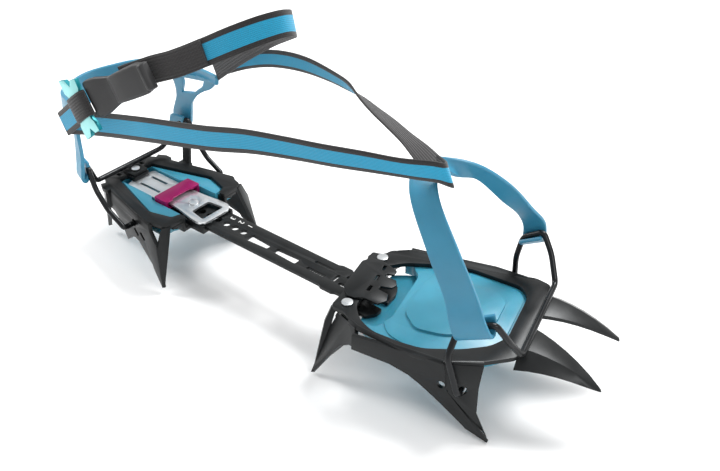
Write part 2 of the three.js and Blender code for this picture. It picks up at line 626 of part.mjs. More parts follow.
// anti-snow plate under the front frame
{
  const top = FRAME_TOP - SHEET - GAP;
  const outer = rounded([[9, -33], [24, -42], [40, -47.5], [52, -47.5], [72, -41.5], [85, -33], [93, -24], [93, 24],
    [86, 29.5], [52, 33.8], [29, 29], [9, 22]], 3);
  const well = rounded([[24, -31], [30, -39.5], [41, -43.6], [52, -43.4], [69.4, -36.3], [82, -28.2], [88, -18.6],
    [88, 17.8], [83, 24.4], [52, 29], [30.4, 24], [24, 18]], 4);
  const dome = rounded([[32, -20], [42, -31], [58, -30], [76, -20], [80, -10], [80, 10], [72, 17], [52, 19.5],
    [38, 16], [32, 10]], 4);
  const base = slab(outer, 31.5, top);
  const inset = slab(well, 30.5, FRAME_TOP - 2);
  const raise = slab(dome, 30.5, FRAME_TOP - 0.4);
  const under = slab(rounded([[14, -28], [40, -40], [52, -40], [80, -26], [85, -16], [85, 15], [52, 26], [14, 18]],
    4), 29, 33.1);
  const barRoom = slab(rounded([[-20, -36], [22, -36], [27, -26], [27, 14], [20, 24], [-20, 24]], 3), 29, 60);
  const skirt = slab(rounded([[9, -29], [30, -33], [30, 24], [18, 21], [9, 17]], 3), 32, 33.4);
  const tray = join([cut(join([base, inset, raise]), [under, barRoom]), skirt]);
  place('front_antisnow_plate', clear(tray, [frontFrame]), PALE_TPU, turn);
}

// retaining plate that holds the head of the bar up under the front crossmember
{
  const floor = BAR_TOP - BAR_THICK - GAP;
  const plate = slab(rounded([[-5, -31], [5, -31], [7, -20], [7, 14], [5, 23.5], [-5, 23.5]], 2), floor - 1.8, floor);
  const posts = BAR_RIVETS.map(([x, y]) => disc(x, y, 3.4, floor - 0.4, FRAME_TOP - SHEET - GAP));
  const bores = BAR_RIVETS.map(([x, y]) => disc(x, y, 2.1, floor - 3, FRAME_TOP));
  place('bar_retainer', clear(cut(join([plate, ...posts]), bores), [frontFrame]), BLACK_STEEL, turn);
  BAR_RIVETS.forEach(([x, y], i) => {
    const rivet = join([
      disc(x, y, 1.95, floor - 2.6, FRAME_TOP + 0.6),
      disc(x, y, 3.3, FRAME_TOP + 0.1, FRAME_TOP + 1.1),
      disc(x, y, 3.1, floor - 3, floor - 2),
    ]);
    place(i === 0 ? 'bar_rivet_outer' : 'bar_rivet_inner', rivet, SILVER, turn);
  });
}

// ======================= wires =======================
{
  const half = [
    P(HEEL_PIVOT.x, 31, HEEL_PIVOT.z), P(HEEL_PIVOT.x + 1.5, 41.8, HEEL_PIVOT.z + 1.5), P(28.8, 42, 42.4),
    P(19.7, 42, 53.4), P(14.3, 41.5, 67), P(8.5, 37, 63), P(1, 28, FRAME_TOP + 4.2),
  ];
  const path = bent([...half, ...half.map(mirrorY).reverse()], 3.4, 4);
  place('heel_bail', rod(path, WIRE / 2), BLACK_WIRE);
}
{
  const half = (s, inner, outer, rear) => [
    P(FRONT_PIVOT.x, s * inner, FRONT_PIVOT.z), P(FRONT_PIVOT.x, s * (outer + 0.8), FRONT_PIVOT.z),
    P(rear, s * outer, 49), P(rear + 2, s * 46, 61), P(88.5, s * 44, 69), P(95, s * 40.5, 58),
    P(FRONT_LEN + 2.2, s * 33, FRAME_TOP + 2.6),
  ];
  const path = bent([...half(-1, 43, 54.4, 68.3), ...half(1, 31, 42.5, 74.8).reverse()], 3.4, 4);
  place('front_bail', rod(path, WIRE / 2), BLACK_WIRE, turn);
}

// ======================= baskets =======================
{
  // rear basket: a band round the heel with an arm to each side and a stem down to each wire loop
  const low = BAND_TOP - BAND_TALL;
  // along, half width, lower edge outside, lower edge inside, rise of the upper edge
  const plan = [
    [52, 36.5, 26, 22, 8], [40, 39, 22, 20, 7], [24, 40.5, 19, 17, 6], [8, 39.5, 13, 12, 5],
    [-6, 35.5, 8, 9, 4], [-17, 29, 4, 5, 2], [-25, 18, 1, 2, 0.5], [-30, 0, 0, 0, 0],
  ];
  const inside = plan.map(([x, y, , a, b]) => [P(x, y, low + a), P(x, y, BAND_TOP + b)]);
  const outside = plan.slice(0, -1).map(([x, y, a, , b]) => [P(x, -y, low + a), P(x, -y, BAND_TOP + b)]);
  const band = toSolid(strip([...inside, ...outside.reverse()], BASKET_THICK, 4));
  const outerStem = strip([
    [P(4, -42.8, 59), P(15, -47, 59)], [P(4, -42.5, 68), P(15, -46.6, 68)], [P(3.5, -41.4, 76), P(13, -44.6, 76)],
    [P(3, -40, 85), P(11, -42.5, 85)], [P(2, -38.6, 93), P(12, -40.6, 97)],
  ], BASKET_THICK, 4);
  const innerStem = strip([
    [P(0, 45.8, 57), P(14, 46.8, 58)], [P(-1, 45.2, 66), P(15, 46, 68)], [P(2, 43, 76), P(20, 43.6, 78)],
    [P(7, 41, 87), P(31, 40.6, 92)], [P(7, 40, 97), P(42, 39, 104)],
  ], BASKET_THICK, 4);
  const stems = [toSolid(outerStem), toSolid(innerStem)];
  place('heel_basket', join([band, ...stems]), BLUE_TPU);
}

{
  const outer = strip([
    [F(69.5, -53, 57), F(88.5, -51.4, 57)], [F(67, -50.5, 68), F(86, -49.8, 71)], [F(63, -47.5, 79), F(80, -47, 83)],
    [F(52, -43, 99.5), F(68, -43, 104.5)], [F(36.5, -31, 124), F(52, -30, 123.5)],
    [F(32, -16, 130), F(46, -17, 127)], [F(32, -2, 129), F(46, -3, 124)],
  ], BASKET_THICK, 5);
  const inner = strip([
    [F(32, -3, 129), F(46, -4, 124)], [F(43, 6, 126), F(49, 7, 115)], [F(57, 14, 120.5), F(55, 19, 109)],
    [F(72, 28, 104), F(67, 31, 91)], [F(82, 41, 84), F(73, 45, 76)], [F(88, 48.4, 72), F(75.5, 48.8, 67)],
    [F(89, 49, 60), F(76, 49.6, 57)],
  ], BASKET_THICK, 5);
  place('front_basket', join([toSolid(outer), toSolid(inner)]), BLUE_TPU);
}

// ======================= webbing =======================
place('strap_outer', web([
  [P(12, -47.5, 99.5), P(-0.28, 0, 1)], [P(48, -46.5, 110), P(-0.28, -0.05, 0.96)],
  [P(87, -48, 121), P(-0.27, -0.1, 0.95)], [P(133, -46, 131), P(-0.26, -0.25, 0.92)],
  [P(183, -39, 140), P(-0.24, -0.36, 0.9)], [P(225, -29, 143.5), P(-0.2, -0.5, 0.85)],
  [P(252, -15, 142), P(-0.1, -0.65, 0.7)],
]), WEBBING);
place('strap_inner', web([
  [P(226, 14, 137), P(0.1, 0.7, 0.5)], [P(206, 14, 145), P(0.1, 0.8, 0.1)], [P(178, 19, 148), P(0, 0.8, -0.3)],
  [P(150, 26, 148), P(0, 0.7, -0.7)], [P(122, 32, 145), P(0.1, 0.4, -0.9)], [P(93, 38, 137), P(0.3, 0, -1)],
  [P(66, 42, 125), P(0.4, 0, -1)], [P(44, 43, 114), P(0.5, 0, -1)],
]), WEBBING);
place('strap_instep', web([
  [P(46, 34, 112), P(-0.5, 0, 1)], [P(75, 31, 134), P(-0.5, 0, 1)], [P(110, 26, 157), P(-0.45, 0, 1)],
  [P(136, 17, 174), P(-0.4, -0.1, 1)], [P(150, 4, 183), P(-0.3, -0.1, 1)], [P(152, -8, 185), P(-0.25, -0.1, 1)],
  [P(146, -19, 183), P(-0.3, -0.1, 1)], [P(134, -27, 177), P(-0.4, -0.05, 1)], [P(118, -34, 168), P(-0.45, 0, 1)],
  [P(100, -39, 159), P(-0.45, 0, 1)],
]), WEBBING);
place('strap_tail', web([
  [P(101, -42, 160.5), P(-0.45, 0, 1)], [P(111, -39, 165.5), P(-0.45, 0, 1)], [P(121, -36, 171.5), P(-0.45, 0, 1)],
]), WEBBING);
place('strap_toggle_end', web([
  [P(12, -50.5, 100.5), P(-0.6, 0, 0.8)], [P(24, -51.5, 110), P(-0.57, 0, 0.82)],
  [P(40, -52, 122), P(-0.55, 0, 0.83)],
]), WEBBING);

// ======================= toggle and buckle =======================
{
  const along = P(52, 6, 30).normalize();
  const up = P(-0.5, 0, 0.866);
  const across = up.clone().addScaledVector(along, -up.dot(along)).normalize();
  const normal = P(0, 0, 0).crossVectors(along, across).normalize();
  const basis = (o) => new THREE.Matrix4().makeBasis(along, across, normal).setPosition(o);
  const tog = rounded([[-4, -16], [0, -12.6], [4, -16], [4.6, -7], [2.4, -3.6], [2.4, 3.6], [4.6, 7], [4, 16],
    [0, 12.6], [-4, 16], [-4.6, 7], [-2.4, 3.6], [-2.4, -3.6], [-4.6, -7]], 0.5);
  place('toggle', slab(tog, -1.2, 1.2), TOGGLE, basis(P(38, -55.3, 122)));
  const half = [[0, 11], [8, 10], [16, 8.6], [24, 9.4], [48, 9.6], [52, 8.8]];
  const body = rounded([...half, ...flipped(half)], 1.4);
  const slots = [[5, 9.5], [34, 40], [44, 48]].map(([x0, x1]) => rounded([[x0, -7.8], [x1, -7.8], [x1, 7.8],
    [x0, 7.8]], 1));
  place('buckle_body', slab(body, -1.8, 1.8, slots), BUCKLE, basis(P(48, -52.5, 129)));
}

group.updateMatrixWorld(true);
const extent = new THREE.Box3().setFromObject(group, true);
const middle = extent.getCenter(P(0, 0, 0));
group.position.set(-middle.x, -middle.y, -extent.min.z);
group.updateMatrixWorld(true);
export default group;
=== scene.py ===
# Strap-on crampon: finished surfaces and soft pieces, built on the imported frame. Metres, +Z up.
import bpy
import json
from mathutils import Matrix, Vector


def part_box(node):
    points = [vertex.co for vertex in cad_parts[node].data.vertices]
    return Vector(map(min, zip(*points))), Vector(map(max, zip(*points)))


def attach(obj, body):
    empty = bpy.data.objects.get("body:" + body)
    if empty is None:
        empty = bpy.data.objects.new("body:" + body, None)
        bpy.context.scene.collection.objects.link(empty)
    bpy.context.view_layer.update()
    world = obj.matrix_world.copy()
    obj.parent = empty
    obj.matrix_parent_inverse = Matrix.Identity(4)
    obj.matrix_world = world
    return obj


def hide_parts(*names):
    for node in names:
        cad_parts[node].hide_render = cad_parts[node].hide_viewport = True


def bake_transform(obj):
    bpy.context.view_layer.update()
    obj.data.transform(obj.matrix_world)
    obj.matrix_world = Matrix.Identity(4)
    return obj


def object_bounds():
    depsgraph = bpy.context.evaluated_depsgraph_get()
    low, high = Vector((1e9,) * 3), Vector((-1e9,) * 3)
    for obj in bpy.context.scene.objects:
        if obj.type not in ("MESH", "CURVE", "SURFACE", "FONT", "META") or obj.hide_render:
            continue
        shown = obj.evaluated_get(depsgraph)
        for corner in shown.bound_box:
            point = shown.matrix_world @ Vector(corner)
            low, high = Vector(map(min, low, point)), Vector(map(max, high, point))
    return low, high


bl_info = {
    "name": "Crampon",
    "version": (1, 0, 0),
    "blender": (4, 5, 0),
    "location": "3D View > Sidebar > Crampon",
    "description": "Builds the webbing, baskets, wires and metalwork of a strap-on crampon",
    "category": "Object",
}

import json
import math

import bmesh
import bpy
from bpy.props import FloatProperty, FloatVectorProperty, PointerProperty
from mathutils import Euler, Matrix, Vector

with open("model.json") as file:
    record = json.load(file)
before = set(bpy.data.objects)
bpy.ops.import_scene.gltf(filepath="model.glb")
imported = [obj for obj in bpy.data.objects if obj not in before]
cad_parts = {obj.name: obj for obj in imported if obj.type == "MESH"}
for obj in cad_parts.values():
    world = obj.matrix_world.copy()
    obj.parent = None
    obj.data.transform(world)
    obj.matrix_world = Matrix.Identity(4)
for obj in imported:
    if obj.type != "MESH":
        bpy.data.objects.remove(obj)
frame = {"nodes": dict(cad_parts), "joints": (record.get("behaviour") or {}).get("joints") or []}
CAD_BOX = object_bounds()

MM = 0.001
WELD = 0.01 * MM  # corners nearer than this are one corner
FLAT = math.radians(1.5)  # faces that meet at less than this are one face
HOLE_PITCH = 7.3  # millimetres between the bar's adjuster holes
WIRE_BEND = 3.4 * MM  # radius that the bail wires are bent to

# ---- where the two sections stand ----
# how far the fork plate starts ahead of the heel section's origin and above the ground, in mm
FORK_AHEAD, FORK_UP = 3, 38
FORK_LOW, FORK_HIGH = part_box("adjuster_fork")
HEEL_ORIGIN = Vector((FORK_LOW.x - FORK_AHEAD * MM, (FORK_LOW.y + FORK_HIGH.y) / 2,
                      FORK_LOW.z - FORK_UP * MM))


def joint(name):
    return next(j for j in frame["joints"] if j["name"] == name)


TOE_HINGE = joint("toe_wire_hinge")
TOE_AXIS = Vector(TOE_HINGE["axis"])
FRONT_ALONG = Vector((-TOE_AXIS.y, TOE_AXIS.x, 0))
FRONT_ACROSS = Vector((-TOE_AXIS.x, -TOE_AXIS.y, 0))


def H(x, y, z):
    """A point of the heel section, given in millimetres from its origin."""
    return HEEL_ORIGIN + Vector((x, y, z)) * MM


# the toe wire's hinge crosses the front section this far ahead of its origin, and above the ground
HINGE_AHEAD, HINGE_UP = 75.2, 26
FRONT_ORIGIN = Vector(TOE_HINGE["pos_m"]) - FRONT_ALONG * HINGE_AHEAD * MM - Vector((0, 0,
                                                                                     HINGE_UP * MM))


def F(x, y, z):
    """A point of the front section, given in millimetres from its origin."""
    return FRONT_ORIGIN + (FRONT_ALONG * x + FRONT_ACROSS * y + Vector((0, 0, z))) * MM


def srgb(code):
    """A hex colour turned to linear light."""
    out = []
    for i in (0, 2, 4):
        c = int(code[i:i + 2], 16) / 255
        out.append(c / 12.92 if c <= 0.04045 else ((c + 0.055) / 1.055) ** 2.4)
    return (*out, 1.0)


# ======================= settings =======================
class WebbingSettings(bpy.types.PropertyGroup):
    wide: FloatProperty(name="Width", description="Width of the strap webbing", default=14.6 * MM,
                        unit="LENGTH")
    thick: FloatProperty(name="Thickness", description="Thickness of the strap webbing",
                         default=1.4 * MM,
                         unit="LENGTH")
    stripe: FloatVectorProperty(name="Stripe", description="Colour of the woven middle stripe",
                                size=4,
                                subtype="COLOR", default=srgb("129bc4"))
    edge: FloatVectorProperty(name="Edge", description="Colour of the edges and the back", size=4,
                              subtype="COLOR", default=srgb("1d1b1c"))


class MouldingSettings(bpy.types.PropertyGroup):
    thick: FloatProperty(name="Thickness", description="Wall of the moulded baskets",
                         default=2.2 * MM,
                         unit="LENGTH")
    basket: FloatVectorProperty(name="Basket", description="Colour of the moulded baskets", size=4,
                                subtype="COLOR", default=srgb("3785a4"))
    plate: FloatVectorProperty(name="Anti-snow plate",
                               description="Colour of the anti-snow plates", size=4,
                               subtype="COLOR", default=srgb("3c8ea6"))


class MetalSettings(bpy.types.PropertyGroup):
    edge_round: FloatProperty(name="Edge rounding",
                              description="Radius worn onto the stamped edges",
                              default=0.35 * MM, unit="LENGTH")
    wire: FloatProperty(name="Wire", description="Diameter of the bail wires", default=3.4 * MM,
                        unit="LENGTH")
    black: FloatVectorProperty(name="Black steel", description="Colour of the blackened steel",
                               size=4,
                               subtype="COLOR", default=srgb("1a1c1d"))
    clip: FloatVectorProperty(name="Hinge block", description="Colour of the anodised hinge block",
                              size=4,
                              subtype="COLOR", default=srgb("a01560"))


class CramponSettings(bpy.types.PropertyGroup):
    webbing: PointerProperty(type=WebbingSettings)
    moulding: PointerProperty(type=MouldingSettings)
    metal: PointerProperty(type=MetalSettings)


# ======================= materials =======================
def add(tree, kind, settings=None, links=None):
    """Adds one node, sets its properties and plain sockets, and links its inputs."""
    node = tree.nodes.new(kind)
    for key, value in (settings or {}).items():
        if hasattr(node, key) and key not in node.inputs:
            setattr(node, key, value)
        else:
            node.inputs[key].default_value = value
    for key, source in (links or {}).items():
        tree.links.new(source, node.inputs[key])
    return node


def ramp(tree, source, stops):
    node = add(tree, "ShaderNodeValToRGB", links={"Fac": source})
    band = node.color_ramp
    while len(band.elements) < len(stops):
        band.elements.new(0.5)
    for element, (at, colour) in zip(band.elements, stops):
        element.position = at
        element.color = colour
    return node.outputs["Color"]


def spread(tree, source, low, high):
    """Maps 0..1 noise to a narrow band of values."""
    return add(tree, "ShaderNodeMapRange",
               {"From Min": 0.3, "From Max": 0.7, "To Min": low, "To Max": high},
               {"Value": source}).outputs["Result"]


def shade(colour, factor):
    return (*[min(c * factor, 1.0) for c in colour[:3]], 1.0)


def start(name):
    mat = bpy.data.materials.new(name)
    mat.use_nodes = True
    mat.node_tree.nodes.clear()
    return mat, mat.node_tree


def finish_material(tree, settings, links):
    body = add(tree, "ShaderNodeBsdfPrincipled", settings, links)
    add(tree, "ShaderNodeOutputMaterial", links={"Surface": body.outputs["BSDF"]})


def grained(name, colour, metallic, rough, grain_mm=0.5, bump_mm=0.02, vary=0.15,
            stretch=(1, 1, 1), **extra):
    """A surface with a fine grain, patchy roughness and slight colour variation."""
    mat, tree = start(name)
    place = add(tree, "ShaderNodeTexCoord").outputs["Object"]
    place = add(tree, "ShaderNodeMapping", {"Scale": stretch}, {"Vector": place}).outputs["Vector"]
    patches = add(tree, "ShaderNodeTexNoise", {"Scale": 60.0, "Detail": 4.0},
                  {"Vector": place}).outputs["Fac"]
    grain = add(tree, "ShaderNodeTexNoise", {"Scale": 1 / (grain_mm * MM), "Detail": 3.0},
                {"Vector": place}).outputs["Fac"]
    base = ramp(tree, patches, [(0.3, shade(colour, 1 - vary)), (0.7, shade(colour, 1 + vary))])
    links = {
        "Base Color": base,
        "Roughness": spread(tree, patches, rough[0], rough[1]),
        "Normal": add(tree, "ShaderNodeBump", {"Strength": 0.35, "Distance": bump_mm * MM},
                      {"Height": grain}).outputs["Normal"],
    }
    finish_material(tree, {"Metallic": metallic, **extra}, links)
    return mat


def woven(name, colour, rib_count, bump):
    """Flat-woven webbing: lengthwise ribs crossed by fine picks, from the strip's own u and v."""
    mat, tree = start(name)
    uv = add(tree, "ShaderNodeUVMap", {"uv_map": "strip"}).outputs["UV"]
    parts = add(tree, "ShaderNodeSeparateXYZ", links={"Vector": uv}).outputs

    def wave(value, turns):
        angle = add(tree, "ShaderNodeMath", {"operation": "MULTIPLY"}, {0: value})
        angle.inputs[1].default_value = turns * 2 * math.pi
        return add(tree, "ShaderNodeMath", {"operation": "SINE"}, {0: angle.outputs[0]}).outputs[0]

    pick_mm = 0.9
    ribs = wave(parts["X"], rib_count)
    picks = wave(parts["Y"], 1.0 / pick_mm)
    fibre = add(tree, "ShaderNodeTexNoise", {"Scale": 2.2, "Detail": 3.0},
                {"Vector": uv}).outputs["Fac"]
    soft = add(tree, "ShaderNodeMath", {"operation": "MULTIPLY"}, {0: picks})
    soft.inputs[1].default_value = 0.25
    height = add(tree, "ShaderNodeMath", {"operation": "ADD"}, {0: ribs, 1: soft.outputs[0]})
    shadow = add(tree, "ShaderNodeMapRange",
                 {"From Min": -1.0, "From Max": 0.4, "To Min": 0.0, "To Max": 1.0},
                 {"Value": height.outputs[0]}).outputs["Result"]
    deep = ramp(tree, shadow, [(0.0, shade(colour, 0.74)), (1.0, colour)])
    worn = ramp(tree, fibre, [(0.3, (0.85, 0.85, 0.85, 1)), (0.7, (1, 1, 1, 1))])
    mixed = add(tree, "ShaderNodeMix", {"data_type": "RGBA", "blend_type": "MULTIPLY"})
    mixed.inputs["Factor"].default_value = 1.0
    tree.links.new(deep, mixed.inputs[6])
    tree.links.new(worn, mixed.inputs[7])
    links = {
        "Base Color": mixed.outputs[2],
        "Roughness": spread(tree, fibre, 0.72, 0.9),
        "Normal": add(tree, "ShaderNodeBump", {"Strength": bump, "Distance": 0.2 * MM},
                      {"Height": height.outputs[0]}).outputs["Normal"],
    }
    finish_material(tree, {"Sheen Weight": 0.25, "Sheen Roughness": 0.5}, links)
    return mat


MATERIALS = {}


def make_materials(settings):
    metal, mould, web = settings.metal, settings.moulding, settings.webbing
    MATERIALS.update({
        # satin black coat over stamped steel, a little lighter where it is handled
        "black_steel": grained("blackened steel", tuple(metal.black), 0.5, (0.3, 0.44), 0.6, 0.02,
                               0.14),
        # the drawn wire is darker and smoother than the sheet
        "black_wire": grained("black coated wire", srgb("17191b"), 0.5, (0.22, 0.34), 0.8, 0.01,
                              0.1),
        # bright plated lever and fork with a lengthwise brush
        "silver_steel": grained("brushed bright steel", srgb("dadddf"), 0.85, (0.24, 0.38), 0.3,
                                0.02, 0.05,
                                (0.2, 1, 1)),
        # deep pink anodised aluminium
        "magenta_anodised": grained("magenta anodised aluminium", tuple(metal.clip), 0.55,
                                    (0.3, 0.42), 0.4,
                                    0.015, 0.08),
        # very pale cyan anodised aluminium
        "pale_anodised": grained("pale cyan anodised aluminium", srgb("9fdede"), 0.45, (0.28, 0.4),
                                 0.4, 0.01,
                                 0.04),
        # the toggle's side faces: the same pale anodising drawn deeper teal, painted shade on the
        # sides
        "side_shade_anodised": grained("anodised aluminium in painted side shade", srgb("16858f"), 0.45, (0.3, 0.42), 0.4,
                                 0.01, 0.06),
        # dull dark cast buckle
        "dark_metal": grained("dark cast metal", srgb("2f2f30"), 0.3, (0.45, 0.58), 0.5, 0.03, 0.1),
        # soft moulded plastic that lets a little light into itself
        "blue_tpu": grained("blue moulded plastic", tuple(mould.basket), 0.0, (0.32, 0.45), 0.7,
                            0.015, 0.06,
                            **{"Subsurface Weight": 0.2, "Subsurface Scale": 2 * MM,
                               "Transmission Weight": 0.12}),
        "pale_tpu": grained("pale moulded plastic", tuple(mould.plate), 0.0, (0.28, 0.4), 0.7,
                            0.015, 0.06,
                            **{"Subsurface Weight": 0.2, "Subsurface Scale": 2 * MM,
                               "Transmission Weight": 0.12}),
        # white size marks pad-printed on the bar
        "white_print": grained("white printed ink", srgb("e8e8e6"), 0.0, (0.5, 0.62), 0.3, 0.005,
                               0.04),
        "web_stripe": woven("blue woven stripe", tuple(web.stripe), 15, 0.3),
        "web_edge": woven("dark woven edge", tuple(web.edge), 15, 0.3),
        "web_back": woven("dark ribbed back", shade(tuple(web.edge), 1.25), 9, 0.6),
    })


# ======================= mesh helpers =======================
def catmull(points, steps):
    """A smooth curve through the points, with its speed set by how far apart they are."""
    out = []
    n = len(points)
    for i in range(n - 1):
        p1, p2 = points[i], points[i + 1]
        p0 = points[i - 1] if i else p1 * 2 - p2
        p3 = points[i + 2] if i + 2 < n else p2 * 2 - p1
        d = [max((b - a).length, 1e-6) ** 0.5 for a, b in ((p0, p1), (p1, p2), (p2, p3))]
        t0, t1 = 0.0, d[0]
        t2, t3 = t1 + d[1], t1 + d[1] + d[2]
        for s in range(steps):
            t = t1 + (t2 - t1) * s / steps
            a1 = p0 * ((t1 - t) / (t1 - t0)) + p1 * ((t - t0) / (t1 - t0))
            a2 = p1 * ((t2 - t) / (t2 - t1)) + p2 * ((t - t1) / (t2 - t1))
            a3 = p2 * ((t3 - t) / (t3 - t2)) + p3 * ((t - t2) / (t3 - t2))
            b1 = a1 * ((t2 - t) / (t2 - t0)) + a2 * ((t - t0) / (t2 - t0))
            b2 = a2 * ((t3 - t) / (t3 - t1)) + a3 * ((t - t1) / (t3 - t1))
            out.append(b1 * ((t2 - t) / (t2 - t1)) + b2 * ((t - t1) / (t2 - t1)))
    out.append(points[-1].copy())
    return out


def link(name, mesh):
    obj = bpy.data.objects.new(name, mesh)
    bpy.context.scene.collection.objects.link(obj)
    return obj


def evaluated_mesh(obj):
    """The mesh that an object's curves or modifiers come to."""
    bpy.context.view_layer.update()
    evaluated = obj.evaluated_get(bpy.context.evaluated_depsgraph_get())
    return bpy.data.meshes.new_from_object(evaluated)


def bake(obj):
    """Turns an object's modifiers into its mesh."""
    mesh = evaluated_mesh(obj)
    obj.modifiers.clear()
    old, obj.data = obj.data, mesh
    bpy.data.meshes.remove(old)
    return obj


def weld(mesh, outward=False):
    """Joins doubled corners, and faces that lie flat together."""
    bm = bmesh.new()
    bm.from_mesh(mesh)
    bmesh.ops.remove_doubles(bm, verts=bm.verts, dist=WELD)
    bmesh.ops.dissolve_limit(bm, angle_limit=FLAT, verts=bm.verts, edges=bm.edges)
    if outward:
        bmesh.ops.recalc_face_normals(bm, faces=bm.faces)
    bm.to_mesh(mesh)
    bm.free()


def closed_mesh(name, bm, *materials):
    """Ends a working mesh: its faces turned outward and its materials in their slots."""
    bmesh.ops.recalc_face_normals(bm, faces=bm.faces)
    mesh = bpy.data.meshes.new(name)
    bm.to_mesh(mesh)
    bm.free()
    for material in materials:
        mesh.materials.append(MATERIALS[material])
    return mesh


def smooth(obj, angle):
    """Smooth faces with a sharp break at every edge steeper than the angle."""
    bm = bmesh.new()
    bm.from_mesh(obj.data)
    for face in bm.faces:
        face.smooth = True
    for edge in bm.edges:
        edge.smooth = len(edge.link_faces) == 2 and edge.calc_face_angle(0) < math.radians(angle)
    bm.to_mesh(obj.data)
    bm.free()


def bevel(obj, width, segments=2, angle=30):
    mod = obj.modifiers.new("rounding", "BEVEL")
    mod.width, mod.segments = width, segments
    mod.limit_method, mod.angle_limit = "ANGLE", math.radians(angle)


# ---- webbing: where its bands meet, as shares of the width from edge to edge ----
WEB_BANDS = [0.0, 0.035, 0.2, 0.5, 0.8, 0.965, 1.0]


def webbing(name, stations, settings, steps=10, plain=False):
    """A woven strip through stations of (point, direction across), closed all round."""
    wide, thick = settings.wide, settings.thick
    left = catmull([p - a.normalized() * wide / 2 for p, a in stations], steps)
    right = catmull([p + a.normalized() * wide / 2 for p, a in stations], steps)
    n = len(left)
    rings, length, lengths = [], 0.0, [0.0]
    for i in range(1, n):
        length += ((left[i] + right[i]) - (left[i - 1] + right[i - 1])).length / 2
        lengths.append(length)
    for i in range(n):
        a, b = max(i - 1, 0), min(i + 1, n - 1)
        along = ((left[b] + right[b]) - (left[a] + right[a])).normalized()
        across = (right[i] - left[i]).normalized()
        normal = along.cross(across).normalized()
        ring = []
        for side in (1, -1):
            for u in WEB_BANDS if side > 0 else reversed(WEB_BANDS):
                # the selvedge rounds off and the middle lies a touch proud
                half = thick / 2 * (0.45 if u in (0.0, 1.0) else 0.92 if u in (0.035,
                                                                               0.965) else 1.0)
                ring.append(left[i].lerp(right[i], u) + normal * half * side)
        rings.append(ring)
    verts = [p for ring in rings for p in ring]
    m = len(rings[0])
    bands = len(WEB_BANDS)
    faces, mats, uvs = [], [], []
    for i in range(n - 1):
        for k in range(m):
            k1 = (k + 1) % m
            faces.append((i * m + k, i * m + k1, (i + 1) * m + k1, (i + 1) * m + k))
            front = k < bands - 1
            back = bands <= k < m - 1
            stripe = front and not plain and 2 <= k <= 3
            backing = back or (plain and front)
            mats.append(0 if stripe else 2 if backing else 1)
            u = [WEB_BANDS[j] if j < bands else WEB_BANDS[m - 1 - j] for j in (k, k1)]
            v0, v1 = lengths[i] / MM, lengths[i + 1] / MM
            uvs += [(u[0], v0), (u[1], v0), (u[1], v1), (u[0], v1)]
    for base, order in ((0, range(m - 1, -1, -1)), ((n - 1) * m, range(m))):
        faces.append(tuple(base + k for k in order))
        mats.append(1)
        uvs += [(0.5, 0.0)] * m
    mesh = bpy.data.meshes.new(name)
    mesh.from_pydata(verts, [], faces)
    layer = mesh.uv_layers.new(name="strip")
    for i, uv in enumerate(uvs):
        layer.data[i].uv = uv
    for key in ("web_stripe", "web_edge", "web_back"):
        mesh.materials.append(MATERIALS[key])
    for polygon, index in zip(mesh.polygons, mats):
        polygon.material_index = index
    obj = link(name, mesh)
    bm = bmesh.new()
    bm.from_mesh(mesh)
    bmesh.ops.recalc_face_normals(bm, faces=bm.faces)
    bm.to_mesh(mesh)
    bm.free()
    smooth(obj, 40)
    return obj


def strip_mesh(bm, rows, steps=6, columns=6, holes=()):
    """Adds a smooth sheet through rows of edge points.

    Holes are shares of the sheet: row from and to, column from and to.
    """
    count = len(rows[0])
    lines = [catmull([row[k] for row in rows], steps) for k in range(count)]
    n = len(lines[0])
    grid = []
    for i in range(n):
        edge = [line[i] for line in lines]
        row = []
        for c in range(columns + 1):
            t = c / columns * (count - 1)
            k = min(int(t), count - 2)
            row.append(bm.verts.new(edge[k].lerp(edge[k + 1], t - k)))
        grid.append(row)
    for i in range(n - 1):
        for c in range(columns):
            s, t = (i + 0.5) / (n - 1), (c + 0.5) / columns
            if any(a < s < b and p < t < q for a, b, p, q in holes):
                continue
            bm.faces.new((grid[i][c], grid[i][c + 1], grid[i + 1][c + 1], grid[i + 1][c]))


def moulding(name, strips, thick, material):
    """Moulded plastic: sheets given a wall thickness with soft rounded rims."""
    parts = []
    for k, (rows, options) in enumerate(strips):
        bm = bmesh.new()
        strip_mesh(bm, rows, **options)
        loose = [v for v in bm.verts if not v.link_faces]
        bmesh.ops.delete(bm, geom=loose, context="VERTS")
        mesh = bpy.data.meshes.new(f"{name}_{k}")
        bm.to_mesh(mesh)
        bm.free()
        obj = link(f"{name}_{k}", mesh)
        wall = obj.modifiers.new("wall", "SOLIDIFY")
        wall.thickness, wall.offset = thick, 0.0
        wall.use_even_offset = True
        bevel(obj, thick * 0.3, 3, 50)
        bake(obj)
        parts.append(obj)
    bm = bmesh.new()
    for obj in parts:
        bm.from_mesh(obj.data)
        mesh = obj.data
        bpy.data.objects.remove(obj)
        bpy.data.meshes.remove(mesh)
    obj = link(name, closed_mesh(name, bm, material))
    smooth(obj, 42)
    return obj


def rounded_path(corners, radius, steps=8):
    out = [corners[0]]
    for i in range(1, len(corners) - 1):
        p = corners[i]
        u, v = corners[i - 1] - p, corners[i + 1] - p
        r = min(radius, u.length * 0.45, v.length * 0.45)
        u, v = u.normalized() * r, v.normalized() * r
        for s in range(steps + 1):
            t = s / steps
            out.append(p + u * (1 - t) ** 2 + v * t ** 2)
    out.append(corners[-1])
    return out


